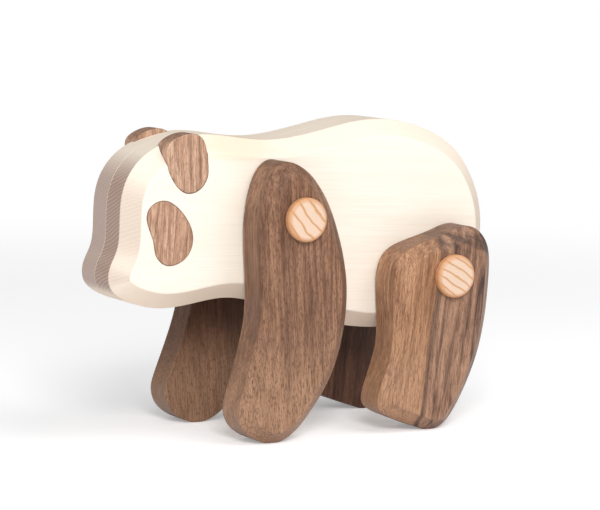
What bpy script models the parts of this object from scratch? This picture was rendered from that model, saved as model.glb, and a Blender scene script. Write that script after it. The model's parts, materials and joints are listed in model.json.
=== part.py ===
"""Standing panda toy sawn from boards: a two-board body with four swinging legs.

Units are metres. +X points from nose to tail, +Z up, and the panda's left side faces -Y.
The feet stand on z = 0, and the middle plane of the body is y = 0. Outlines and axes are
drawn in the plane of the boards, as (x, z) in drawing units of a millimetre, and the legs'
outlines are drawn about the axis that each leg swings on.
"""

import math

import bmesh
import bpy
import numpy as np

# Driving dimensions, metres.
DRAWING_UNIT = 0.001      # length of one unit of the drawing; it sizes the whole silhouette
BOARD = 0.0176            # every board, maple or walnut, after planing
GLUE_LINE = 0.0003        # between the two body boards
GAP = 0.0003              # a fitted piece to its seat
BODY_CHAMFER = 0.0063
LEG_CHAMFER = 0.0046      # on the outer face of a leg only
LEG_STANDOFF = 0.0009     # leg to body, so that a leg passes the proud eye patch
FOOT_FLAT_CUT = 0.00025   # how much of a foot is sanded away where it stands
INLAY_PROUD = 0.0004      # eye patches and ears over the face of the board
EYE_POCKET = 0.0040       # depth of an eye patch's pocket
EAR_THICKNESS = 0.0085
PEG_SHANK = 0.0050        # radius
PEG_HEAD = 0.0083         # radius
PEG_HEAD_HEIGHT = 0.0030
PEG_RIM = 0.0010          # chamfer round the head
PEG_LEAD = 0.0008         # chamfer at the end of the shank
PEG_TIP = 0.00115         # end of the shank to the middle plane, so that pegs never meet
CUT_OVERRUN = 0.001       # how far a cutter passes the face it opens

# The drawing, in drawing units.
FRONT_AXIS = (-12.7, 84.4)    # shoulder pegs
REAR_AXIS = (53.3, 60.1)      # hip pegs

# How each leg stands: degrees that its foot is swung towards the nose.
STANCE = {"front_left": 0.0, "front_right": 4.1, "rear_left": 0.0, "rear_right": -1.5}

LEFT, RIGHT = -1, 1
SIDES = {"left": LEFT, "right": RIGHT}

BODY_OUTLINE = [
    (-78, 73), (-81, 66), (-80.5, 59), (-73, 53.5), (-60.5, 50.5), (-46.5, 51.5),
    (-32.5, 53), (-17, 50), (1, 44.5), (20, 39.5), (39.5, 38), (56.5, 40.5),
    (69.5, 48), (78, 60), (81.5, 73.5), (80, 87.5), (74.5, 99.5), (66.5, 108.5),
    (54.5, 115), (41.5, 118.5), (27, 119), (12.5, 116.5), (-3.5, 113.3), (-17, 112.4),
    (-30, 113.8), (-43, 115), (-55, 113), (-65.5, 108.8), (-73, 101.2), (-76.3, 92.5),
    (-77, 82),
]
EYE_OUTLINE = [
    (-68.7, 85), (-66, 76.5), (-65, 71.5), (-62, 68), (-57.5, 67.3), (-52, 70.5),
    (-49.8, 76.5), (-51.5, 82.8), (-56.5, 88.8), (-61.5, 91.2), (-66.5, 89.7),
]
EAR_OUTLINE = [
    (-61, 109.5), (-60, 103), (-56.8, 97), (-52.5, 93.9), (-47.5, 94.8), (-44, 99.3),
    (-43.8, 105), (-44.6, 111), (-47, 114.9), (-52, 115.9), (-57.5, 114.2), (-60.3, 112),
]
FRONT_LEG_OUTLINE = [
    (-6, 21), (-1, 20), (4.5, 16.5), (9.5, 10.5), (14, 2.5), (19.7, -15.2), (21.5, -30),
    (20, -45), (14, -62.7), (3.7, -77), (-2, -82.2), (-9, -84.8), (-16.3, -83.2),
    (-22.2, -78.7), (-24.4, -73), (-23.3, -66.5), (-18.8, -51.5), (-15.8, -36),
    (-16, -20), (-16.5, -3), (-14.5, 10), (-10.8, 18),
]
REAR_LEG_OUTLINE = [
    (10, 18.5), (15, 16), (18.3, 11.3), (19.5, 5), (19.2, -5), (18.1, -16), (14.5, -32),
    (7.5, -47.7), (3.3, -54.3), (-1.1, -58.6), (-7, -60.1), (-14, -58), (-26, -53),
    (-29.5, -50), (-29.7, -45.5), (-25.2, -32), (-23.6, -20), (-24.2, -7), (-23.8, 2),
    (-21.6, 7.3), (-16.8, 11), (-3, 15.3), (4, 17.7),
]

BODY_STEPS = 4            # straight steps between two points of an outline
PIECE_STEPS = 4
ROUND_SIDES = 48

# Worked out from the above.
BODY_FACE = GLUE_LINE / 2 + BOARD
LEG_INNER = BODY_FACE + LEG_STANDOFF
LEG_OUTER = LEG_INNER + BOARD
HEAD_UNDERSIDE = LEG_OUTER + GAP
SHOULDER = tuple(DRAWING_UNIT * value for value in FRONT_AXIS)
HIP = tuple(DRAWING_UNIT * value for value in REAR_AXIS)
REACH = 0.5               # half size of the cutters that take away everything on one side

MAPLE = (0.84, 0.70, 0.52)
WALNUT = (0.20, 0.105, 0.06)
BEECH = (0.62, 0.36, 0.20)


def empty_scene():
    for item in list(bpy.data.objects):
        bpy.data.objects.remove(item)


def new_collection(name):
    group = bpy.data.collections.new(name)
    bpy.context.scene.collection.children.link(group)
    return group


def finish(item, colour, roughness):
    """Give a piece its own material."""
    material = bpy.data.materials.new(item.name + "_finish")
    material.use_nodes = True
    shader = material.node_tree.nodes["Principled BSDF"]
    shader.inputs["Base Color"].default_value = (*colour, 1.0)
    shader.inputs["Roughness"].default_value = roughness
    shader.inputs["Metallic"].default_value = 0.0
    item.data.materials.clear()
    item.data.materials.append(material)


def smooth_loop(points, steps):
    """Closed curve through the points, with one slope and one curvature at each of them.

    Every stretch is a cubic over a knot distance that is the square root of its chord,
    and the slopes at the points solve the cyclic equations that join the curvatures.
    """
    corners = np.array(points, dtype=float) * DRAWING_UNIT
    ahead = np.roll(corners, -1, axis=0)
    span = np.sqrt(np.linalg.norm(ahead - corners, axis=1))
    count = len(corners)
    system = np.zeros((count, count))
    target = np.zeros((count, 2))
    for i in range(count):
        before, after = span[i - 1], span[i]
        following = (i + 1) % count
        system[i, i - 1] += 1 / before
        system[i, i] += 2 * (1 / before + 1 / after)
        system[i, following] += 1 / after
        rise_before = (corners[i] - corners[i - 1]) / before ** 2
        rise_after = (corners[following] - corners[i]) / after ** 2
        target[i] = 3 * (rise_before + rise_after)
    slope = np.linalg.solve(system, target)
    t = (np.arange(steps) / steps)[None, :, None]
    start, end = corners[:, None], ahead[:, None]
    leave = (slope * span[:, None])[:, None]
    arrive = (np.roll(slope, -1, axis=0) * span[:, None])[:, None]
    curve = (2 * t ** 3 - 3 * t ** 2 + 1) * start + (3 * t ** 2 - 2 * t ** 3) * end
    curve += (t ** 3 - 2 * t ** 2 + t) * leave + (t ** 3 - t ** 2) * arrive
    return curve.reshape(-1, 2)


def swung(loop, degrees):
    """Turn an outline about the origin, its lower end towards -X."""
    angle = -math.radians(degrees)
    turn = np.array([[math.cos(angle), math.sin(angle)], [-math.sin(angle), math.cos(angle)]])
    return loop @ turn


def sawn(name, loop, depth, group, chamfer=0.0, grow=0.0, place=(0.0, 0.0, 0.0)):
    """Solid of an outline, with its thickness along Y centred on place, chamfered on both faces."""
    curve = bpy.data.curves.new(name, "CURVE")
    curve.dimensions = "2D"
    curve.fill_mode = "BOTH"
    curve.extrude = depth / 2 - chamfer
    curve.bevel_depth = chamfer
    curve.bevel_resolution = 0
    curve.offset = grow - chamfer
    spline = curve.splines.new("POLY")
    spline.points.add(len(loop) - 1)
    for point, (across, up) in zip(spline.points, loop):
        point.co = (across, up, 0.0, 1.0)
    spline.use_cyclic_u = True
    drawn = bpy.data.objects.new(name, curve)
    group.objects.link(drawn)
    drawn.location = place
    drawn.rotation_euler = (math.radians(90), 0.0, 0.0)
    bpy.context.view_layer.update()
    return made_mesh(drawn, group)


def made_mesh(drawn, group):
    """The mesh of a curve object, welded, in the curve's place."""
    graph = bpy.context.evaluated_depsgraph_get()
    mesh = bpy.data.meshes.new_from_object(drawn.evaluated_get(graph))
    work = bmesh.new()
    work.from_mesh(mesh)
    bmesh.ops.remove_doubles(work, verts=work.verts, dist=0.00001)
    bmesh.ops.recalc_face_normals(work, faces=work.faces)
    work.to_mesh(mesh)
    work.free()
    name, matrix = drawn.name, drawn.matrix_world.copy()
    bpy.data.objects.remove(drawn)
    solid = bpy.data.objects.new(name, mesh)
    solid.matrix_world = matrix
    group.objects.link(solid)
    return solid


def block(name, low, high, group):
    """Box between two corners."""
    bpy.ops.mesh.primitive_cube_add(size=1.0)
    box = bpy.context.object
    box.name = name
    low, high = np.array(low), np.array(high)
    box.location = (low + high) / 2
    box.scale = high - low
    move_to(box, group)
    return box


def round_bar(name, radius, low_y, high_y, axis, group):
    """Cylinder along Y through a point (x, z)."""
    bpy.ops.mesh.primitive_cylinder_add(vertices=ROUND_SIDES, radius=radius, depth=high_y - low_y)
    bar = bpy.context.object
    bar.name = name
    bar.location = (axis[0], (low_y + high_y) / 2, axis[1])
    bar.rotation_euler = (math.radians(90), 0.0, 0.0)
    move_to(bar, group)
    return bar


def move_to(item, group):
    for owner in list(item.users_collection):
        owner.objects.unlink(item)
    group.objects.link(item)


def cut(item, cutter, operation="DIFFERENCE"):
    cutter.hide_render = True
    cutter.display_type = "WIRE"
    boolean = item.modifiers.new(cutter.name, "BOOLEAN")
    boolean.operation = operation
    boolean.object = cutter


def side_block(name, side, start, group):
    """Everything that lies further from the middle plane than start, on one side."""
    near, far = sorted((side * start, side * REACH))
    return block(name, (-REACH, near, -REACH), (REACH, far, REACH), group)


def make_body_board(word, side, parts, cutters):
    """Half of the body blank, with its two pockets and the bores for the pegs."""
    loop = smooth_loop(BODY_OUTLINE, BODY_STEPS)
    board = sawn(f"body_{word}_board", loop, 2 * BODY_FACE, parts, chamfer=BODY_CHAMFER)
    cut(board, side_block(f"{word}_half", side, GLUE_LINE / 2, cutters), "INTERSECT")
    eye_loop = smooth_loop(EYE_OUTLINE, PIECE_STEPS)
    pocket_mid = side * BODY_FACE
    eye = sawn(f"{word}_eye_pocket", eye_loop, 2 * (EYE_POCKET + GAP), cutters, grow=GAP,
               place=(0.0, pocket_mid, 0.0))
    cut(board, eye)
    ear_loop = smooth_loop(EAR_OUTLINE, PIECE_STEPS)
    ear_depth = EAR_THICKNESS - INLAY_PROUD + GAP
    ear = sawn(f"{word}_ear_notch", ear_loop, 2 * ear_depth, cutters, grow=GAP,
               place=(0.0, pocket_mid, 0.0))
    cut(board, ear)
    for end, axis in (("front", SHOULDER), ("rear", HIP)):
        low, high = sorted((-side * CUT_OVERRUN, side * REACH))
        bore = round_bar(f"{word}_{end}_bore", PEG_SHANK + GAP, low, high, axis, cutters)
        cut(board, bore)
    finish(board, MAPLE, 0.55)


def make_eye_patch(word, side, parts):
    depth = EYE_POCKET + INLAY_PROUD
    middle = side * (BODY_FACE + INLAY_PROUD - depth / 2)
    patch = sawn(f"{word}_eye_patch", smooth_loop(EYE_OUTLINE, PIECE_STEPS), depth, parts,
                 place=(0.0, middle, 0.0))
    finish(patch, WALNUT, 0.5)


def make_ear(word, side, parts):
    middle = side * (BODY_FACE + INLAY_PROUD - EAR_THICKNESS / 2)
    ear = sawn(f"{word}_ear", smooth_loop(EAR_OUTLINE, PIECE_STEPS), EAR_THICKNESS, parts,
               place=(0.0, middle, 0.0))
    finish(ear, WALNUT, 0.5)


def standing_loop(outline, degrees, axis):
    """Leg outline at its stance, hung from its axis so that the foot reaches the floor."""
    loop = swung(smooth_loop(outline, PIECE_STEPS), degrees)
    loop[:, 1] -= axis[1] + FOOT_FLAT_CUT + loop[:, 1].min()
    return loop


def make_leg(word, end, side, outline, axis, parts, cutters):
    """Leg with its outer edges chamfered, bored for its peg and sanded flat where it stands."""
    stance = STANCE[f"{end}_{word}"]
    hidden = LEG_CHAMFER + CUT_OVERRUN
    depth = BOARD + hidden
    middle = side * (LEG_OUTER - depth / 2)
    leg = sawn(f"{end}_{word}_leg", standing_loop(outline, stance, axis), depth, parts,
               chamfer=LEG_CHAMFER, place=(axis[0], middle, axis[1]))
    cut(leg, side_block(f"{end}_{word}_face", side, LEG_INNER, cutters), "INTERSECT")
    low, high = sorted((side * BODY_FACE, side * REACH))
    cut(leg, round_bar(f"{end}_{word}_hole", PEG_SHANK + GAP, low, high, axis, cutters))
    cut(leg, block(f"{end}_{word}_floor", (-REACH, -REACH, -REACH), (REACH, REACH, 0.0), cutters))
    finish(leg, WALNUT, 0.55)


def make_peg(word, end, side, axis, parts):
    """Turned peg: a plain shank and a head with a chamfered rim."""
    top = PEG_HEAD_HEIGHT
    foot = PEG_TIP - HEAD_UNDERSIDE
    profile = [
        (0.0, top), (PEG_HEAD - PEG_RIM, top), (PEG_HEAD, top - PEG_RIM), (PEG_HEAD, 0.0),
        (PEG_SHANK, 0.0), (PEG_SHANK, foot + PEG_LEAD), (PEG_SHANK - PEG_LEAD, foot), (0.0, foot),
    ]
    mesh = bpy.data.meshes.new(f"{end}_{word}_peg")
    edges = [(i, i + 1) for i in range(len(profile) - 1)]
    mesh.from_pydata([(radius, 0.0, height) for radius, height in profile], edges, [])
    peg = bpy.data.objects.new(mesh.name, mesh)
    parts.objects.link(peg)
    screw = peg.modifiers.new("turned", "SCREW")
    screw.steps = ROUND_SIDES
    screw.render_steps = ROUND_SIDES
    screw.use_merge_vertices = True
    screw.merge_threshold = 0.00001
    peg.location = (axis[0], side * HEAD_UNDERSIDE, axis[1])
    peg.rotation_euler = (-side * math.radians(90), 0.0, 0.0)
    finish(peg, BEECH, 0.45)


def shade_round(item):
    item.data.shade_smooth()
    item.data.set_sharp_from_angle(angle=math.radians(30))


def main():
    empty_scene()
    parts = new_collection("panda_toy")
    cutters = new_collection("cutters")
    for word, side in SIDES.items():
        make_body_board(word, side, parts, cutters)
        make_eye_patch(word, side, parts)
        make_ear(word, side, parts)
        for end, outline, axis in (("front", FRONT_LEG_OUTLINE, SHOULDER),
                                   ("rear", REAR_LEG_OUTLINE, HIP)):
            make_leg(word, end, side, outline, axis, parts, cutters)
            make_peg(word, end, side, axis, parts)
    for item in parts.objects:
        shade_round(item)


main()
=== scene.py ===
"""Finish of the jointed wooden panda: oiled maple, walnut and beech, and soft studio light."""

import json
import math

import bmesh
import bpy
import numpy as np
from mathutils import Matrix, Vector


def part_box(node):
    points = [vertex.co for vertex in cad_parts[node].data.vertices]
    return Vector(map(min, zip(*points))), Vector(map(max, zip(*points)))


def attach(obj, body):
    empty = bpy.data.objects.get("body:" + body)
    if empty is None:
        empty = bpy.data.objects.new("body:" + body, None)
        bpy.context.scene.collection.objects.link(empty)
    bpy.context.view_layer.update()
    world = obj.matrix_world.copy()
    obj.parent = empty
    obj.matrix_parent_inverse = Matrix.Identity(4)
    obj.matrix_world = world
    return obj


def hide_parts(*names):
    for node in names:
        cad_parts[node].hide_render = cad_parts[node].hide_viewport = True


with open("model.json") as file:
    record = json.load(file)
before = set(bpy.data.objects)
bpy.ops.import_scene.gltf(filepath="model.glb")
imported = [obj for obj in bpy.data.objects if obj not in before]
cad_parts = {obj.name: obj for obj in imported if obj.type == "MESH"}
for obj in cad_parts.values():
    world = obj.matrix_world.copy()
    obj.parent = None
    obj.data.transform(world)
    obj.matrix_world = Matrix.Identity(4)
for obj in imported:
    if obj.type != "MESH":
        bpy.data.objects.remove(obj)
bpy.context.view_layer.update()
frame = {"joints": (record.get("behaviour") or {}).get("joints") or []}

MM = 0.001

# Outlines in millimetres, as (x, z). A leg's outline is drawn about its own axis.
BODY_OUTLINE = [
    (-78, 73), (-81, 66), (-80.5, 59), (-73, 53.5), (-60.5, 50.5), (-46.5, 51.5),
    (-32.5, 53), (-17, 50), (1, 44.5), (20, 39.5), (39.5, 38), (56.5, 40.5),
    (69.5, 48), (78, 60), (81.5, 73.5), (80, 87.5), (74.5, 99.5), (66.5, 108.5),
    (54.5, 115), (41.5, 118.5), (27, 119), (12.5, 116.5), (-3.5, 113.3), (-17, 112.4),
    (-30, 113.8), (-43, 115), (-55, 113), (-65.5, 108.8), (-73, 101.2), (-76.3, 92.5),
    (-77, 82),
]
EYE_OUTLINE = [
    (-68.7, 85), (-66, 76.5), (-65, 71.5), (-62, 68), (-57.5, 67.3), (-52, 70.5),
    (-49.8, 76.5), (-51.5, 82.8), (-56.5, 88.8), (-61.5, 91.2), (-66.5, 89.7),
]
EAR_OUTLINE = [
    (-61, 109.5), (-60, 103), (-56.8, 97), (-52.5, 93.9), (-47.5, 94.8), (-44, 99.3),
    (-43.8, 105), (-44.6, 111), (-47, 114.9), (-52, 115.9), (-57.5, 114.2), (-60.3, 112),
]
FRONT_LEG_OUTLINE = [
    (-6, 21), (-1, 20), (4.5, 16.5), (9.5, 10.5), (14, 2.5), (19.7, -15.2), (21.5, -30),
    (20, -45), (14, -62.7), (3.7, -77), (-2, -82.2), (-9, -84.8), (-16.3, -83.2),
    (-22.2, -78.7), (-24.4, -73), (-23.3, -66.5), (-18.8, -51.5), (-15.8, -36),
    (-16, -20), (-16.5, -3), (-14.5, 10), (-10.8, 18),
]
REAR_LEG_OUTLINE = [
    (10, 18.5), (15, 16), (18.3, 11.3), (19.5, 5), (19.2, -5), (18.1, -16), (14.5, -32),
    (7.5, -47.7), (3.3, -54.3), (-1.1, -58.6), (-7, -60.1), (-14, -58), (-26, -53),
    (-29.5, -50), (-29.7, -45.5), (-25.2, -32), (-23.6, -20), (-24.2, -7), (-23.8, 2),
    (-21.6, 7.3), (-16.8, 11), (-3, 15.3), (4, 17.7),
]
STANCE = {"front_left": 0.0, "front_right": 4.1, "rear_left": 0.0, "rear_right": -1.5}
SIDES = {"left": -1, "right": 1}

# Depths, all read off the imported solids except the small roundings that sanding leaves.
BODY_FACE = -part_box("body_left_board")[0][1]
GLUE_FACE = 0.00002
LEG_INNER = -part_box("front_left_leg")[1][1]
LEG_OUTER = -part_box("front_left_leg")[0][1]
INLAY_FACE = -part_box("left_ear")[0][1]
EAR_BACK = -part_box("left_ear")[1][1]
EYE_BACK = -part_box("left_eye_patch")[1][1]
PEG_TIP = -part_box("front_left_peg")[1][1]
PEG_TOP = -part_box("front_left_peg")[0][1]
PEG_HEAD = (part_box("front_left_peg")[1][0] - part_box("front_left_peg")[0][0]) / 2
PEG_SHANK = 0.0050
PEG_HEAD_HEIGHT = 0.0030
HEAD_UNDERSIDE = PEG_TOP - PEG_HEAD_HEIGHT
BODY_CHAMFER = 0.0063
LEG_CHAMFER = 0.0046
INLAY_GAP = 0.00020       # dark line round an eye patch or an ear
BORE_GAP = 0.0002
FOOT_FLAT_CUT = 0.00025
AXES = {joint["child"]: joint["pos_m"] for joint in frame["joints"]}

WARM_FLECK_MIDDLE = (-0.030, 0.0, 0.111)   # middle of the warm fleck on the top edge

BODY_STEPS = 14
PIECE_STEPS = 16
LEG_STEPS = 16
ROUND_STEPS = 96
NEIGHBOURS = 8            # outline points either side that share the tightest bend
DEEPEST_INSET = 0.96      # of the bend's radius


def linear(colour):
    """sRGB hex to a linear colour with alpha."""
    parts = [int(colour[i:i + 2], 16) / 255 for i in (1, 3, 5)]
    return [c / 12.92 if c <= 0.04045 else ((c + 0.055) / 1.055) ** 2.4 for c in parts] + [1.0]


# Shapes ----------------------------------------------------------------------------------


def smooth_loop(points, steps):
    """Closed curve through the points. Each stretch is the cubic that keeps place and slope
    at both its ends, and the slopes solve the cyclic equations that join the curvatures."""
    corners = np.array(points, dtype=float) * MM
    ahead, behind = np.roll(corners, -1, axis=0), np.roll(corners, 1, axis=0)
    after = np.sqrt(np.linalg.norm(ahead - corners, axis=1))
    before = np.roll(after, 1)
    system = np.diag(2 * (1 / before + 1 / after))
    system += np.roll(np.diag(1 / after), 1, axis=1) + np.roll(np.diag(1 / before), -1, axis=1)
    rise = (corners - behind) / before[:, None] ** 2 + (ahead - corners) / after[:, None] ** 2
    slope = np.linalg.solve(system, 3 * rise)
    t = (np.arange(steps) / steps)[None, :, None]
    leave = (slope * after[:, None])[:, None]
    arrive = (np.roll(slope, -1, axis=0) * after[:, None])[:, None]
    curve = (2 * t ** 3 - 3 * t ** 2 + 1) * corners[:, None] + (3 * t ** 2 - 2 * t ** 3) * ahead[:, None]
    curve += (t ** 3 - 2 * t ** 2 + t) * leave + (t ** 3 - t ** 2) * arrive
    return curve.reshape(-1, 2)


def outward(loop):
    """Unit normals of a closed curve: its tangent, by central differences, turned a quarter."""
    along = np.roll(loop, -1, axis=0) - np.roll(loop, 1, axis=0)
    across = np.stack([along[:, 1], -along[:, 0]], axis=1)
    across /= np.linalg.norm(across, axis=1)[:, None]
    turn = np.roll(loop, -1, axis=0)
    area = np.sum(loop[:, 0] * turn[:, 1] - turn[:, 0] * loop[:, 1])
    return across * math.copysign(1.0, area)


def rounded(corners, steps=5):
    """Polyline of (inset, depth, radius) corners with an arc of that radius in each corner.

    The arc runs between its two tangent points and is the blend of them with weights
    from the angle, so that it has the true radius.
    """
    points = []
    for i, (inset, depth, radius) in enumerate(corners):
        here = np.array([inset, depth])
        if radius == 0 or i in (0, len(corners) - 1):
            points.append(here)
            continue
        back = np.array(corners[i - 1][:2]) - here
        forth = np.array(corners[i + 1][:2]) - here
        back /= np.linalg.norm(back)
        forth /= np.linalg.norm(forth)
        half = math.acos(np.clip(back @ forth, -1, 1)) / 2
        middle = back + forth
        middle /= np.linalg.norm(middle)
        centre = here + middle * radius / math.sin(half)
        start = here + back * radius / math.tan(half) - centre
        end = here + forth * radius / math.tan(half) - centre
        sweep = math.pi - 2 * half
        for k in range(steps + 1):
            share = k / steps
            weight = math.sin((1 - share) * sweep), math.sin(share * sweep)
            points.append(centre + (start * weight[0] + end * weight[1]) / math.sin(sweep))
    return np.array(points)


def new_piece(name, vertices, faces):
    """Mesh object at the origin with its faces pointing out."""
    mesh = bpy.data.meshes.new(name)
    mesh.from_pydata(vertices.tolist(), [], faces)
    work = bmesh.new()
    work.from_mesh(mesh)
    if work.calc_volume(signed=True) < 0:
        bmesh.ops.reverse_faces(work, faces=work.faces)
    work.to_mesh(mesh)
    work.free()
    piece = bpy.data.objects.new(name, mesh)
    bpy.context.scene.collection.objects.link(piece)
    return piece


def bulge_radius(loop):
    """Radius of a closed curve where it bulges, and a long one elsewhere: step length over the
    sine of the turn. Each point takes the least of its neighbours, then their mean."""
    step = np.roll(loop, -1, axis=0) - loop
    last = np.roll(step, 1, axis=0)
    length = np.linalg.norm(step, axis=1)
    turn = (last[:, 0] * step[:, 1] - last[:, 1] * step[:, 0]) / (length * np.roll(length, 1))
    area = np.sum(loop[:, 0] * step[:, 1] - loop[:, 1] * step[:, 0])
    radius = length / np.maximum(turn * math.copysign(1.0, area), 0.001)
    reach = range(-NEIGHBOURS, NEIGHBOURS + 1)
    least = np.min([np.roll(radius, k) for k in reach], axis=0)
    return np.mean([np.roll(least, k) for k in reach], axis=0)


def slab(name, loop, profile, side):
    """Sawn piece: the outline carried along a profile of (inset, depth) from back to face.

    Vertex (i, k) is loop[k] moved in by the i-th inset, at y = side * the i-th depth. Where the
    outline bulges tightly the inset stops short of its centre, so that no ring crosses itself.
    Two flat faces close the ends.
    """
    insets = np.minimum(profile[:, :1], bulge_radius(loop)[None] * DEEPEST_INSET)
    flat = loop[None] - outward(loop)[None] * insets[:, :, None]
    grid = np.empty((*insets.shape, 3))
    grid[:, :, 0] = flat[:, :, 0]
    grid[:, :, 1] = side * profile[:, 1:]
    grid[:, :, 2] = np.maximum(flat[:, :, 1], 0.0)
    return new_piece(name, grid.reshape(-1, 3), wrapped(*insets.shape))


def wrapped(rings, count):
    """Faces of a grid of closed rings: quads between neighbours, and one face at each end."""
    index = np.arange(rings * count).reshape(rings, count)
    following = np.roll(index, -1, axis=1)
    quads = np.stack([index[:-1], following[:-1], following[1:], index[1:]], axis=-1).reshape(-1, 4)
    return quads.tolist() + [index[0][::-1].tolist(), index[-1].tolist()]


def turned(name, profile, axis, side):
    """Turned piece: a profile of (radius, depth) carried round an axis along Y.

    Vertex (i, k) is at radius[i] * (cos, sin) of the k-th angle, and y = side * depth[i].
    """
    angle = np.arange(ROUND_STEPS) * 2 * math.pi / ROUND_STEPS
    grid = np.empty((len(profile), ROUND_STEPS, 3))
    grid[:, :, 0] = axis[0] + profile[:, :1] * np.cos(angle)
    grid[:, :, 1] = side * profile[:, 1:]
    grid[:, :, 2] = axis[2] + profile[:, :1] * np.sin(angle)
    return new_piece(name, grid.reshape(-1, 3), wrapped(len(profile), ROUND_STEPS))


def carve(piece, cutters):
    """Take the cutters away from a piece and keep the result as its mesh."""
    for cutter in cutters:
        boolean = piece.modifiers.new("carve", "BOOLEAN")
        boolean.object = cutter
        boolean.operation = "DIFFERENCE"
        boolean.solver = "MANIFOLD"
    graph = bpy.context.evaluated_depsgraph_get()
    mesh = bpy.data.meshes.new_from_object(piece.evaluated_get(graph))
    piece.modifiers.clear()
    old, piece.data = piece.data, mesh
    mesh.name = piece.name
    bpy.data.meshes.remove(old)
    for cutter in cutters:
        bpy.data.meshes.remove(cutter.data)


def soften(piece, degrees=24):
    """Smooth shading whose normals follow the larger faces, so that flats stay flat and the
    rounded edges between them stay crisp."""
    piece.data.shade_smooth()
    piece.data.set_sharp_from_angle(angle=math.radians(degrees))
    weighted = piece.modifiers.new("crisp_edges", "WEIGHTED_NORMAL")
    weighted.mode = "FACE_AREA"
    weighted.weight = 100
    weighted.keep_sharp = True


def bar(name, radius, low, high, axis, side):
    return turned(name, np.array([(radius, low), (radius, high)]), axis, side)


# Finishes --------------------------------------------------------------------------------


def node(tree, kind, inputs=None, out=0, stops=None, **settings):
    """Add a node, set its settings, and give its sockets values or links, and its colour stops.
    Returns the wanted output, or the node where out is None."""
    made = tree.nodes.new(kind)
    for key, value in settings.items():
        setattr(made, key, value)
    for key, value in (inputs or {}).items():
        if isinstance(value, bpy.types.NodeSocket):
            tree.links.new(value, made.inputs[key])
        else:
            made.inputs[key].default_value = value
    if stops:
        elements = made.color_ramp.elements
        while len(elements) < len(stops):
            elements.new(0.5)
        for element, (place, colour) in zip(elements, stops):
            element.position = place
            element.color = linear(colour)
    return made if out is None else made.outputs[out]


def new_finish(name, roughness):
    material = bpy.data.materials.new(name)
    material.use_nodes = True
    tree = material.node_tree
    tree.nodes.clear()
    shader = node(tree, "ShaderNodeBsdfPrincipled", out=None)
    shader.inputs["Roughness"].default_value = roughness
    shader.inputs["IOR"].default_value = 1.5
    shader.inputs["Specular IOR Level"].default_value = 0.35
    node(tree, "ShaderNodeOutputMaterial", {"Surface": shader.outputs[0]}, out=None)
    return material, tree, shader


def flecks(tree, place, size, tilt=0.0, detail=3.0, rough=0.5, warp=0.0):
    """Noise whose flecks have the given size in millimetres along x, y and z, before a tilt
    in degrees about Y. The value runs from 0 to 1 about 0.5."""
    where = node(tree, "ShaderNodeTexCoord", out="Object")
    grid = node(tree, "ShaderNodeMapping", {
        "Vector": where,
        "Location": [v * MM for v in place],
        "Rotation": (0.0, math.radians(tilt), 0.0),
        "Scale": [v * MM for v in size],
    }, vector_type="TEXTURE")
    return node(tree, "ShaderNodeTexNoise", {
        "Vector": grid, "Scale": 1.0, "Detail": detail, "Roughness": rough, "Distortion": warp,
    })


def facing(tree, direction):
    """How squarely the surface faces along a direction: the dot product with its normal."""
    normal = node(tree, "ShaderNodeTexCoord", out="Normal")
    return node(tree, "ShaderNodeVectorMath", {0: normal, 1: direction}, out="Value",
                operation="DOT_PRODUCT")


def along(tree, direction):
    """Distance in metres along a direction from the origin."""
    where = node(tree, "ShaderNodeTexCoord", out="Object")
    return node(tree, "ShaderNodeVectorMath", {0: where, 1: direction}, out="Value",
                operation="DOT_PRODUCT")


def growth_rings(tree, direction, spacing, wander, amount):
    """Rings cut by the surface: the sine of the distance along a direction over the spacing,
    with a slow noise added so that they wander. Runs from 0 to 1."""
    swing = node(tree, "ShaderNodeMath", {0: wander, 1: amount}, operation="MULTIPLY")
    phase = node(tree, "ShaderNodeMath", {
        0: along(tree, direction), 1: 2 * math.pi / (spacing * MM), 2: swing,
    }, operation="MULTIPLY_ADD")
    wave = node(tree, "ShaderNodeMath", {0: phase}, operation="SINE")
    return node(tree, "ShaderNodeMath", {0: wave, 1: 0.5, 2: 0.5}, operation="MULTIPLY_ADD")


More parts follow.
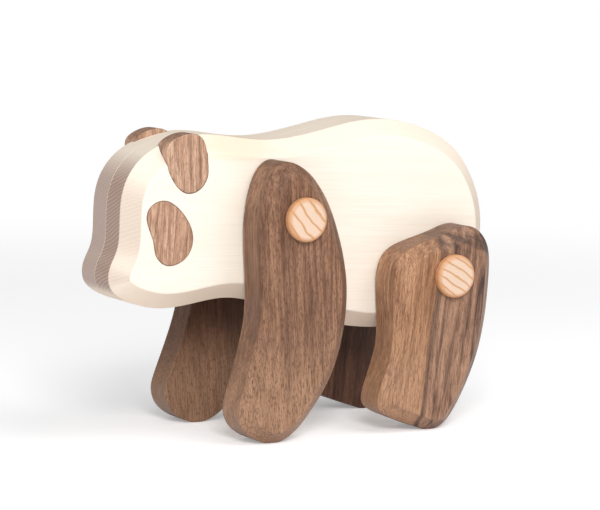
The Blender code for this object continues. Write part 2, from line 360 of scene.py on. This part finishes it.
def oiled_maple(name, ring_direction, ring_spacing, end_light, end_dark, seed):
    """Oiled hard maple, planed and sanded to a fine grit: nearly white, faint long growth
    lines on the side, and greyer end grain with clear rings at the nose and the rump."""
    material, tree, shader = new_finish(name, 0.50)
    cloud = flecks(tree, (0, seed, 0), (60, 16, 11), tilt=3.0, detail=3.0)
    fibre = flecks(tree, (seed, 3, 0), (26, 0.8, 0.6), tilt=2.0, detail=2.0)
    lines = flecks(tree, (seed, 9, 0), (90, 6, 2.6), tilt=2.0, detail=1.0, warp=0.2)
    colour = node(tree, "ShaderNodeValToRGB", {"Fac": cloud},
                  stops=[(0.35, "#f7ecdd"), (0.65, "#faf1e3")])
    colour = node(tree, "ShaderNodeMix", {
        0: node(tree, "ShaderNodeMapRange", {
            0: lines, 1: 0.50, 2: 0.66, 3: 0.0, 4: 0.22,
        }, interpolation_type="SMOOTHSTEP"), 6: colour, 7: linear("#f3e4d3"),
    }, out=2, data_type="RGBA")
    colour = node(tree, "ShaderNodeMix", {
        0: node(tree, "ShaderNodeMapRange", {
            0: fibre, 1: 0.45, 2: 0.75, 3: 0.0, 4: 0.35,
        }, interpolation_type="SMOOTHSTEP"), 6: colour, 7: linear("#ecdccc"),
    }, out=2, data_type="RGBA")
    # A warm fleck on the top edge, behind the ears.
    behind = node(tree, "ShaderNodeTexCoord", out="Object")
    behind = node(tree, "ShaderNodeVectorMath", {0: behind, 1: WARM_FLECK_MIDDLE}, operation="SUBTRACT")
    behind = node(tree, "ShaderNodeVectorMath", {0: behind, 1: (1.0, 0.0, 2.6)},
                  operation="MULTIPLY")
    behind = node(tree, "ShaderNodeVectorMath", {0: behind}, out="Value", operation="LENGTH")
    colour = node(tree, "ShaderNodeMix", {
        0: node(tree, "ShaderNodeMapRange", {
            0: behind, 1: 0.020, 2: 0.008, 3: 0.0, 4: 0.55,
        }, interpolation_type="SMOOTHSTEP"), 6: colour, 7: linear("#f3ddbd"),
    }, out=2, data_type="RGBA")
    # Chamfers and edges, turned away from the flat sides, are a shade tanner, and faces turned down
    # carry a painted tan of warm bounce light from below.
    level = node(tree, "ShaderNodeMath", {0: facing(tree, (0, 1, 0))}, operation="ABSOLUTE")
    colour = node(tree, "ShaderNodeMix", {
        0: node(tree, "ShaderNodeMapRange", {
            0: level, 1: 0.96, 2: 0.80, 3: 0.0, 4: 0.35,
        }, interpolation_type="SMOOTHSTEP"), 6: colour, 7: linear("#ecd5be"),
    }, out=2, data_type="RGBA")
    # Painted light: faces turned down are tinted tan for the warm light bounced up from below.
    colour = node(tree, "ShaderNodeMix", {
        0: node(tree, "ShaderNodeMapRange", {
            0: facing(tree, (0, 0, -1)), 1: 0.35, 2: 0.85, 3: 0.0, 4: 0.50,
        }, interpolation_type="SMOOTHSTEP"), 6: colour, 7: linear("#f1d8c0"),
    }, out=2, data_type="RGBA")
    wander = flecks(tree, (seed, 0, 0), (60, 22, 12), detail=3.0)
    rings = growth_rings(tree, ring_direction, ring_spacing, wander, 16.0)
    dots = flecks(tree, (seed, 0, 0), (6, 0.5, 0.45), detail=2.0)
    end = node(tree, "ShaderNodeValToRGB", {"Fac": rings},
               stops=[(0.15, end_dark), (0.85, end_light)])
    end = node(tree, "ShaderNodeMix", {
        0: node(tree, "ShaderNodeMapRange", {
            0: dots, 1: 0.40, 2: 0.80, 3: 0.0, 4: 0.45,
        }, interpolation_type="SMOOTHSTEP"), 6: end, 7: linear(end_dark),
    }, out=2, data_type="RGBA")
    endways = node(tree, "ShaderNodeMath", {0: facing(tree, (1, 0, 0))}, operation="ABSOLUTE")
    colour = node(tree, "ShaderNodeMix", {
        0: node(tree, "ShaderNodeMapRange", {
            0: endways, 1: 0.54, 2: 0.97, 3: 0.0, 4: 1.0,
        }, interpolation_type="SMOOTHSTEP"), 6: colour, 7: end,
    }, out=2, data_type="RGBA")
    tree.links.new(colour, shader.inputs["Base Color"])
    bump = node(tree, "ShaderNodeBump", {"Height": fibre, "Strength": 0.12, "Distance": 0.00005})
    tree.links.new(bump, shader.inputs["Normal"])
    return material


def oiled_walnut(name, dark, light, place, tilt, pore=0.55, streaks=None):
    """Oiled American walnut, sanded: brown heartwood in soft bands along the grain, crowded
    open pores that show as short dark dashes, and dusky end grain at the top and the foot.
    The pores are really 0.2 mm wide and are drawn twice that, to show."""
    material, tree, shader = new_finish(name, 0.48)
    bands = flecks(tree, place, (6.5, 8.0, 70.0), tilt, detail=3.0, rough=0.55, warp=0.8)
    veins = flecks(tree, place, (1.5, 1.8, 42.0), tilt, detail=4.0, rough=0.62, warp=0.3)
    fibre = flecks(tree, place, (0.45, 0.45, 6.0), tilt, detail=2.0, rough=0.6)
    pores = flecks(tree, place, (0.42, 0.42, 1.7), tilt, detail=1.0)
    colour = node(tree, "ShaderNodeValToRGB", {"Fac": bands}, stops=[(0.36, dark), (0.64, light)])
    shade = node(tree, "ShaderNodeValToRGB", {"Fac": veins}, stops=[
        (0.30, "#a0948c"), (0.45, "#dbd4d0"), (0.56, "#ffffff"),
    ])
    colour = node(tree, "ShaderNodeMix", {0: 0.85, 6: colour, 7: shade}, out=2, data_type="RGBA",
                  blend_type="MULTIPLY")
    if streaks:
        colour = streaks(tree, colour, tilt)
    grey = node(tree, "ShaderNodeValToRGB", {"Fac": fibre}, stops=[
        (0.34, "#c3b8b0"), (0.56, "#ffffff"),
    ])
    colour = node(tree, "ShaderNodeMix", {0: 0.85, 6: colour, 7: grey}, out=2, data_type="RGBA",
                  blend_type="MULTIPLY")
    # The sawn sides of the board show few open pores.
    sideways = node(tree, "ShaderNodeMath", {0: facing(tree, (1, 0, 0))}, operation="ABSOLUTE")
    open_pores = node(tree, "ShaderNodeMath", {
        0: node(tree, "ShaderNodeMapRange", {
            0: pores, 1: 0.52, 2: 0.68, 3: 0.0, 4: pore,
        }, interpolation_type="SMOOTHSTEP"), 1: node(tree, "ShaderNodeMapRange", {
            0: sideways, 1: 0.97, 2: 0.72, 3: 0.25, 4: 1.0,
        }, interpolation_type="SMOOTHSTEP"),
    }, operation="MULTIPLY")
    colour = node(tree, "ShaderNodeMix", {0: open_pores, 6: colour, 7: linear("#452e22")},
                  out=2, data_type="RGBA")
    endways = node(tree, "ShaderNodeMath", {0: facing(tree, (0, 0, 1))}, operation="ABSOLUTE")
    colour = node(tree, "ShaderNodeMix", {
        0: node(tree, "ShaderNodeMapRange", {
            0: endways, 1: 0.55, 2: 0.98, 3: 0.0, 4: 0.55,
        }, interpolation_type="SMOOTHSTEP"), 6: colour, 7: linear("#6f4f3e"),
    }, out=2, data_type="RGBA")
    tree.links.new(colour, shader.inputs["Base Color"])
    bump = node(tree, "ShaderNodeBump", {
        "Height": node(tree, "ShaderNodeMapRange", {
            0: pores, 1: 0.68, 2: 0.52, 3: 0.0, 4: 1.0,
        }, interpolation_type="SMOOTHSTEP"), "Strength": 0.25, "Distance": 0.00008,
    })
    tree.links.new(bump, shader.inputs["Normal"])
    return material


def pale_foot(tree, colour, tilt):
    """Warmer and paler towards the foot. On the far front leg this is painted light, where the leg comes
    out of the shade under the belly.
    """
    foot = node(tree, "ShaderNodeMapRange", {
        0: along(tree, (0, 0, 1)), 1: 0.055, 2: 0.008, 3: 0.0, 4: 0.55,
    }, interpolation_type="SMOOTHSTEP")
    return node(tree, "ShaderNodeMix", {0: foot, 6: colour, 7: linear("#c09778")},
                out=2, data_type="RGBA")


def rear_leg_streaks(tree, colour, tilt):
    """Ink-dark streaks on the tail side of a border that follows the grain, and a dark patch
    along the top edge."""
    colour = pale_foot(tree, colour, tilt)
    lean = math.radians(tilt)
    across = along(tree, (math.cos(lean), 0.0, -math.sin(lean)))
    sway = flecks(tree, (0, 0, 0), (14, 20, 40), tilt, detail=2.0)
    place = node(tree, "ShaderNodeMath", {0: sway, 1: 0.006, 2: across}, operation="MULTIPLY_ADD")
    lines = flecks(tree, (4, 0, 0), (3.4, 6.0, 46.0), tilt, detail=4.0, rough=0.64, warp=0.9)
    dark = node(tree, "ShaderNodeValToRGB", {"Fac": lines}, stops=[
        (0.36, "#54403a"), (0.44, "#83624f"), (0.55, "#a98269"), (0.70, "#bd9679"),
    ])
    colour = node(tree, "ShaderNodeMix", {
        0: node(tree, "ShaderNodeMapRange", {
            0: place, 1: 0.0425, 2: 0.0437, 3: 0.0, 4: 1.0,
        }, interpolation_type="SMOOTHSTEP"), 6: colour, 7: dark,
    }, out=2, data_type="RGBA")
    edge = node(tree, "ShaderNodeMath", {
        0: node(tree, "ShaderNodeMapRange", {
            0: place, 1: 0.0420, 2: 0.0428, 3: 0.0, 4: 1.0,
        }, interpolation_type="SMOOTHSTEP"), 1: node(tree, "ShaderNodeMapRange", {
            0: place, 1: 0.0452, 2: 0.0434, 3: 0.0, 4: 0.6,
        }, interpolation_type="SMOOTHSTEP"),
    }, operation="MULTIPLY")
    colour = node(tree, "ShaderNodeMix", {0: edge, 6: colour, 7: linear("#4b382f")},
                  out=2, data_type="RGBA")
    crown = flecks(tree, (0, 2, 0), (16, 12, 5), 24.0, detail=3.0)
    patch = node(tree, "ShaderNodeMath", {
        0: node(tree, "ShaderNodeMapRange", {
            0: along(tree, (0.28, 0, 1)), 1: 0.0845, 2: 0.0875, 3: 0.0, 4: 1.0,
        }, interpolation_type="SMOOTHSTEP"),
        1: node(tree, "ShaderNodeMapRange", {
            0: crown, 1: 0.42, 2: 0.60, 3: 0.0, 4: 0.75,
        }, interpolation_type="SMOOTHSTEP"),
    }, operation="MULTIPLY")
    return node(tree, "ShaderNodeMix", {0: patch, 6: colour, 7: linear("#4c3a33")},
                out=2, data_type="RGBA")


def turned_beech(name, centre, ring_direction, ring_spacing):
    """Turned beech dowel seen on its end grain: pale, with thin orange-brown ring lines right
    across, and a warmer rim that is partly the turned edge's own tone and partly painted light,
    which leaves the flat centre pale like a sheen."""
    material, tree, shader = new_finish(name, 0.44)
    wander = flecks(tree, (0, 0, 0), (9, 30, 9), detail=2.0)
    rings = growth_rings(tree, ring_direction, ring_spacing, wander, 6.0)
    dots = flecks(tree, (0, 0, 0), (0.5, 8.0, 0.5), detail=2.0)
    colour = node(tree, "ShaderNodeValToRGB", {"Fac": rings}, stops=[
        (0.01, "#c8925f"), (0.08, "#dcb697"), (0.35, "#e3c7b1"),
    ])
    colour = node(tree, "ShaderNodeMix", {
        0: node(tree, "ShaderNodeMapRange", {
            0: dots, 1: 0.45, 2: 0.75, 3: 0.0, 4: 0.35,
        }, interpolation_type="SMOOTHSTEP"), 6: colour, 7: linear("#d3ac8b"),
    }, out=2, data_type="RGBA")
    where = node(tree, "ShaderNodeTexCoord", out="Object")
    level = node(tree, "ShaderNodeVectorMath", {0: where, 1: (1, 0, 1)}, operation="MULTIPLY")
    distance = node(tree, "ShaderNodeVectorMath", {0: level, 1: (centre[0], 0, centre[2])},
                    out="Value", operation="DISTANCE")
    # Painted light in part: the orange rim leaves the flat centre pale as a sheen would; the rest is the
    # turned edge's own tone.
    rim = node(tree, "ShaderNodeMapRange", {
        0: distance, 1: PEG_HEAD - 0.0022, 2: PEG_HEAD - 0.0003, 3: 0.0, 4: 0.85,
    }, interpolation_type="SMOOTHSTEP")
    colour = node(tree, "ShaderNodeMix", {0: rim, 6: colour, 7: linear("#cf9463")},
                  out=2, data_type="RGBA")
    tree.links.new(colour, shader.inputs["Base Color"])
    bump = node(tree, "ShaderNodeBump", {"Height": dots, "Strength": 0.15, "Distance": 0.00004})
    tree.links.new(bump, shader.inputs["Normal"])
    return material


# Pieces ----------------------------------------------------------------------------------


def place_piece(piece, cad_node, body, material):
    piece.data.materials.clear()
    piece.data.materials.append(material)
    soften(piece)
    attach(piece, body)
    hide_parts(cad_node)


def inlay_profile(back, rim):
    """Back to face of an eye patch or an ear, with a rounded rim on the face."""
    return rounded([(0.0015, back, 0), (0, back, 0.0003), (0, INLAY_FACE, rim),
                    (0.0022, INLAY_FACE, 0)])


def make_body(word, side, material):
    rim = BODY_FACE - BODY_CHAMFER
    profile = rounded([
        (0.0020, GLUE_FACE, 0), (0, GLUE_FACE, 0.00015), (0, rim, 0.0006),
        (BODY_CHAMFER, BODY_FACE, 0.0013), (BODY_CHAMFER + 0.0012, BODY_FACE, 0),
    ])
    board = slab(f"panda_{word}_half", smooth_loop(BODY_OUTLINE, BODY_STEPS), profile, side)
    cutters = []
    for outline, back in ((EYE_OUTLINE, EYE_BACK), (EAR_OUTLINE, EAR_BACK)):
        loop = smooth_loop(outline, PIECE_STEPS)
        grown = loop + outward(loop) * INLAY_GAP
        hole = np.array([(0.0, back - BORE_GAP), (0.0, INLAY_FACE + 0.01)])
        cutters.append(slab("hollow", grown, hole, side))
    for end in ("front", "rear"):
        axis = AXES[f"{end}_{word}"]
        cutters.append(bar("bore", PEG_SHANK + BORE_GAP, -0.001, LEG_OUTER, axis, side))
    carve(board, cutters)
    place_piece(board, f"body_{word}_board", "body", material)


def make_leg(name, side, outline, material):
    """The outline at its stance, lowered to the floor, with its foot sanded flat on it."""
    axis = AXES[name]
    swing = math.radians(STANCE[name])
    turn = np.array([[math.cos(swing), -math.sin(swing)], [math.sin(swing), math.cos(swing)]])
    loop = smooth_loop(outline, LEG_STEPS) @ turn
    loop = loop - [0, axis[2] + FOOT_FLAT_CUT + loop[:, 1].min()] + [axis[0], axis[2]]
    rim = LEG_OUTER - LEG_CHAMFER
    profile = rounded([
        (0.0015, LEG_INNER, 0), (0, LEG_INNER, 0.0005), (0, rim, 0.0004),
        (LEG_CHAMFER, LEG_OUTER, 0.0006), (LEG_CHAMFER + 0.0006, LEG_OUTER, 0),
    ])
    leg = slab(f"{name}_walnut", loop, profile, side)
    carve(leg, [bar("hole", PEG_SHANK + BORE_GAP, BODY_FACE, LEG_OUTER + 0.01, axis, side)])
    place_piece(leg, f"{name}_leg", name, material)


def make_peg(name, side, material):
    profile = rounded([
        (0.0002, PEG_TIP, 0), (PEG_SHANK, PEG_TIP, 0.0006), (PEG_SHANK, HEAD_UNDERSIDE, 0),
        (PEG_HEAD, HEAD_UNDERSIDE, 0.0003), (PEG_HEAD, PEG_TOP, 0.0013), (0.0045, PEG_TOP, 0),
    ], steps=7)
    peg = turned(f"{name}_dowel", profile, AXES[name], side)
    place_piece(peg, f"{name}_peg", "body", material)


maple = {
    "left": oiled_maple("oiled_maple_left", (0, 0.45, 1), 1.5, "#c2a698", "#a98e81", 11.0),
    "right": oiled_maple("oiled_maple_right", (0, -0.12, 1), 0.9, "#cab3a7", "#baa498", 47.0),
}
walnut = {
    "front_left": oiled_walnut("oiled_walnut_front_left", "#7f5b46", "#ab8165", (3, 0, 8), -3.0,
                               streaks=pale_foot),
    # Far front leg: darker partly for its own wood and partly as painted shade from the body above it;
    # its paler foot is painted light below that shade.
    "front_right": oiled_walnut("oiled_walnut_front_right_painted_shade", "#472b1f", "#6b4836", (51, 9, 3), -4.0,
                                streaks=pale_foot),
    "rear_left": oiled_walnut("oiled_walnut_rear_left", "#a87a58", "#c99a76", (27, 5, 60), 6.7,
                              pore=0.32, streaks=rear_leg_streaks),
    # Far rear leg: darker partly for its own wood and partly as painted shade from the body above it.
    "rear_right": oiled_walnut("oiled_walnut_rear_right_painted_shade", "#5a3b2c", "#7c5743", (80, 2, 31), 5.0),
}
eye_walnut = oiled_walnut("pale_walnut_eye", "#c3997e", "#d8b196", (90, 0, 20), 3.0, pore=0.3)
ear_walnut = oiled_walnut("pale_walnut_ear", "#c79e83", "#dcb69b", (70, 4, 44), -3.0, pore=0.3)
beech = {
    "front": turned_beech("turned_beech_front", AXES["front_left"], (0.74, 0, 0.67), 4.3),
    "rear": turned_beech("turned_beech_rear", AXES["rear_left"], (0.55, 0, 0.83), 3.0),
}

for word, side in SIDES.items():
    make_body(word, side, maple[word])
    loop = smooth_loop(EYE_OUTLINE, PIECE_STEPS)
    eye = slab(f"{word}_eye_inlay", loop, inlay_profile(EYE_BACK, 0.0004), side)
    place_piece(eye, f"{word}_eye_patch", "body", eye_walnut)
    loop = smooth_loop(EAR_OUTLINE, PIECE_STEPS)
    ear = slab(f"{word}_ear_walnut", loop, inlay_profile(EAR_BACK, 0.0006), side)
    place_piece(ear, f"{word}_ear", "body", ear_walnut)
    for end, outline in (("front", FRONT_LEG_OUTLINE), ("rear", REAR_LEG_OUTLINE)):
        make_leg(f"{end}_{word}", side, outline, walnut[f"{end}_{word}"])
        make_peg(f"{end}_{word}", side, beech[end])


# Stage -----------------------------------------------------------------------------------

AZIMUTH, ELEVATION, ROLL = map(math.radians, (-29.45, 6.8, 0.86))
CAMERA_DISTANCE = 1.057
CAMERA_TARGET = Vector((0.0061, 0.0, 0.0662))
FOCAL_LENGTH = 163.7      # mm, on a 36 mm wide sensor
FLOOR_LIFT = 0.28
WORLD_LEVEL = 0.27


def make_camera():
    back = Vector((math.sin(AZIMUTH) * math.cos(ELEVATION), -math.cos(AZIMUTH) * math.cos(ELEVATION),
                   math.sin(ELEVATION)))
    right = Vector((math.cos(AZIMUTH), math.sin(AZIMUTH), 0.0))
    up = back.cross(right)
    camera = bpy.data.objects.new("camera", bpy.data.cameras.new("camera"))
    camera.data.lens = FOCAL_LENGTH
    camera.data.sensor_width = 36.0
    upright = Matrix((right, up, back)).transposed()
    camera.matrix_world = (Matrix.Translation(CAMERA_TARGET + back * CAMERA_DISTANCE)
                           @ (upright @ Matrix.Rotation(ROLL, 3, "Z")).to_4x4())
    bpy.context.scene.collection.objects.link(camera)
    bpy.context.scene.camera = camera


def make_lamp(name, azimuth, elevation, distance, size, watts):
    """Square soft box that faces the toy, placed by its angles in degrees round it: azimuth 0
    is in front of the left side, and a plus turns towards the tail."""
    data = bpy.data.lights.new(name, "AREA")
    data.size = size
    data.energy = watts
    turn, rise = math.radians(azimuth), math.radians(elevation)
    away = Vector((math.sin(turn) * math.cos(rise), -math.cos(turn) * math.cos(rise), math.sin(rise)))
    lamp = bpy.data.objects.new(name, data)
    lamp.location = CAMERA_TARGET + away * distance
    lamp.rotation_euler = away.to_track_quat("Z", "Y").to_euler()
    bpy.context.scene.collection.objects.link(lamp)


def make_stage():
    """White floor that runs into a white surround. The floor keeps the toy's shadow, and what
    the camera sees of it is lifted a little to meet the white of the surround."""
    size = 6.0
    corners = [(-size, -size, 0), (size, -size, 0), (size, size, 0), (-size, size, 0)]
    mesh = bpy.data.meshes.new("floor")
    mesh.from_pydata(corners, [], [(0, 1, 2, 3)])
    floor = bpy.data.objects.new("floor", mesh)
    bpy.context.scene.collection.objects.link(floor)
    material = bpy.data.materials.new("white_paper_floor")
    material.use_nodes = True
    tree = material.node_tree
    tree.nodes.clear()
    ray = node(tree, "ShaderNodeLightPath", out=None)
    seen = node(tree, "ShaderNodeMath", {
        0: ray.outputs["Is Camera Ray"], 1: ray.outputs["Is Glossy Ray"],
    }, operation="MAXIMUM")
    lifted = node(tree, "ShaderNodeMath", {0: seen, 1: FLOOR_LIFT}, operation="MULTIPLY")
    paper = node(tree, "ShaderNodeBsdfDiffuse", {"Color": linear("#f2f2f3")})
    glow = node(tree, "ShaderNodeEmission", {"Color": (1, 1, 1, 1), "Strength": lifted})
    both = node(tree, "ShaderNodeAddShader", {0: paper, 1: glow})
    white = node(tree, "ShaderNodeEmission", {"Color": (1, 1, 1, 1), "Strength": 1.0})
    where = node(tree, "ShaderNodeTexCoord", out="Object")
    reach = node(tree, "ShaderNodeVectorMath", {0: where}, out="Value", operation="LENGTH")
    away = node(tree, "ShaderNodeMath", {0: node(tree, "ShaderNodeMapRange", {
        0: reach, 1: 0.25, 2: 0.8, 3: 0.0, 4: 1.0,
    }, interpolation_type="SMOOTHSTEP"), 1: seen},
                operation="MULTIPLY")
    surface = node(tree, "ShaderNodeMixShader", {0: away, 1: both, 2: white})
    node(tree, "ShaderNodeOutputMaterial", {"Surface": surface}, out=None)
    mesh.materials.append(material)


def make_world():
    """Even white surround: full white where it is seen, dimmer as a lamp."""
    world = bpy.data.worlds.new("white_surround")
    world.use_nodes = True
    bpy.context.scene.world = world
    tree = world.node_tree
    tree.nodes.clear()
    ray = node(tree, "ShaderNodeLightPath", out=None)
    seen = node(tree, "ShaderNodeMath", {
        0: ray.outputs["Is Camera Ray"], 1: ray.outputs["Is Transmission Ray"],
    }, operation="MAXIMUM")
    strength = node(tree, "ShaderNodeMapRange", {0: seen, 3: WORLD_LEVEL, 4: 1.0})
    light = node(tree, "ShaderNodeBackground", {"Color": (1, 1, 1, 1), "Strength": strength})
    node(tree, "ShaderNodeOutputWorld", {"Surface": light}, out=None)


make_camera()
make_lamp("key_box", -24, 31, 1.4, 0.50, 12.4)
make_lamp("tail_box", 45, 52, 1.4, 1.0, 8.0)
make_lamp("nose_box", -88, 36, 1.4, 1.0, 2.5)
make_stage()
make_world()
scene = bpy.context.scene
scene.view_settings.view_transform = "Standard"
